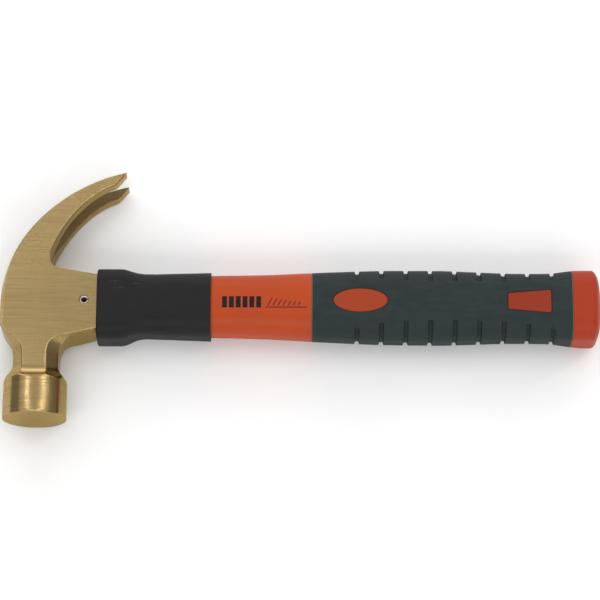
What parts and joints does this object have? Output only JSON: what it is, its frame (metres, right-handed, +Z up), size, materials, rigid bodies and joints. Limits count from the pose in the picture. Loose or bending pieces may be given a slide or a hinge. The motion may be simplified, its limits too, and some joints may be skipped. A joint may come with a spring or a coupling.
{
  "type": "claw hammer",
  "caption": "Claw hammer with a golden alloy head, black rubber collar, orange moulded handle and dark ribbed rubber grip, lying on its side.",
  "frame": {"origin": "centre of the bounding box's bottom, on the plane that the hammer lies on", "axes": "+X runs along the handle from the head to the butt, +Y points to the claw and -Y to the striking face, +Z is up out of the side that shows"},
  "size_m": [0.3082, 0.129, 0.033],
  "materials": {
    "head_alloy": "satin",
    "pin_steel": "satin",
    "core_fibreglass": "matte",
    "eye_resin": "gloss",
    "collar_rubber": "matte",
    "jacket_orange": "satin",
    "grip_rubber": "matte"
  },
  "bodies": {
    "root": {"head": "head_alloy", "cross_pin": "pin_steel", "handle_core": "core_fibreglass", "eye_epoxy": "eye_resin", "collar": "collar_rubber", "jacket": "jacket_orange", "grip": "grip_rubber"}
  },
  "joints": []
}
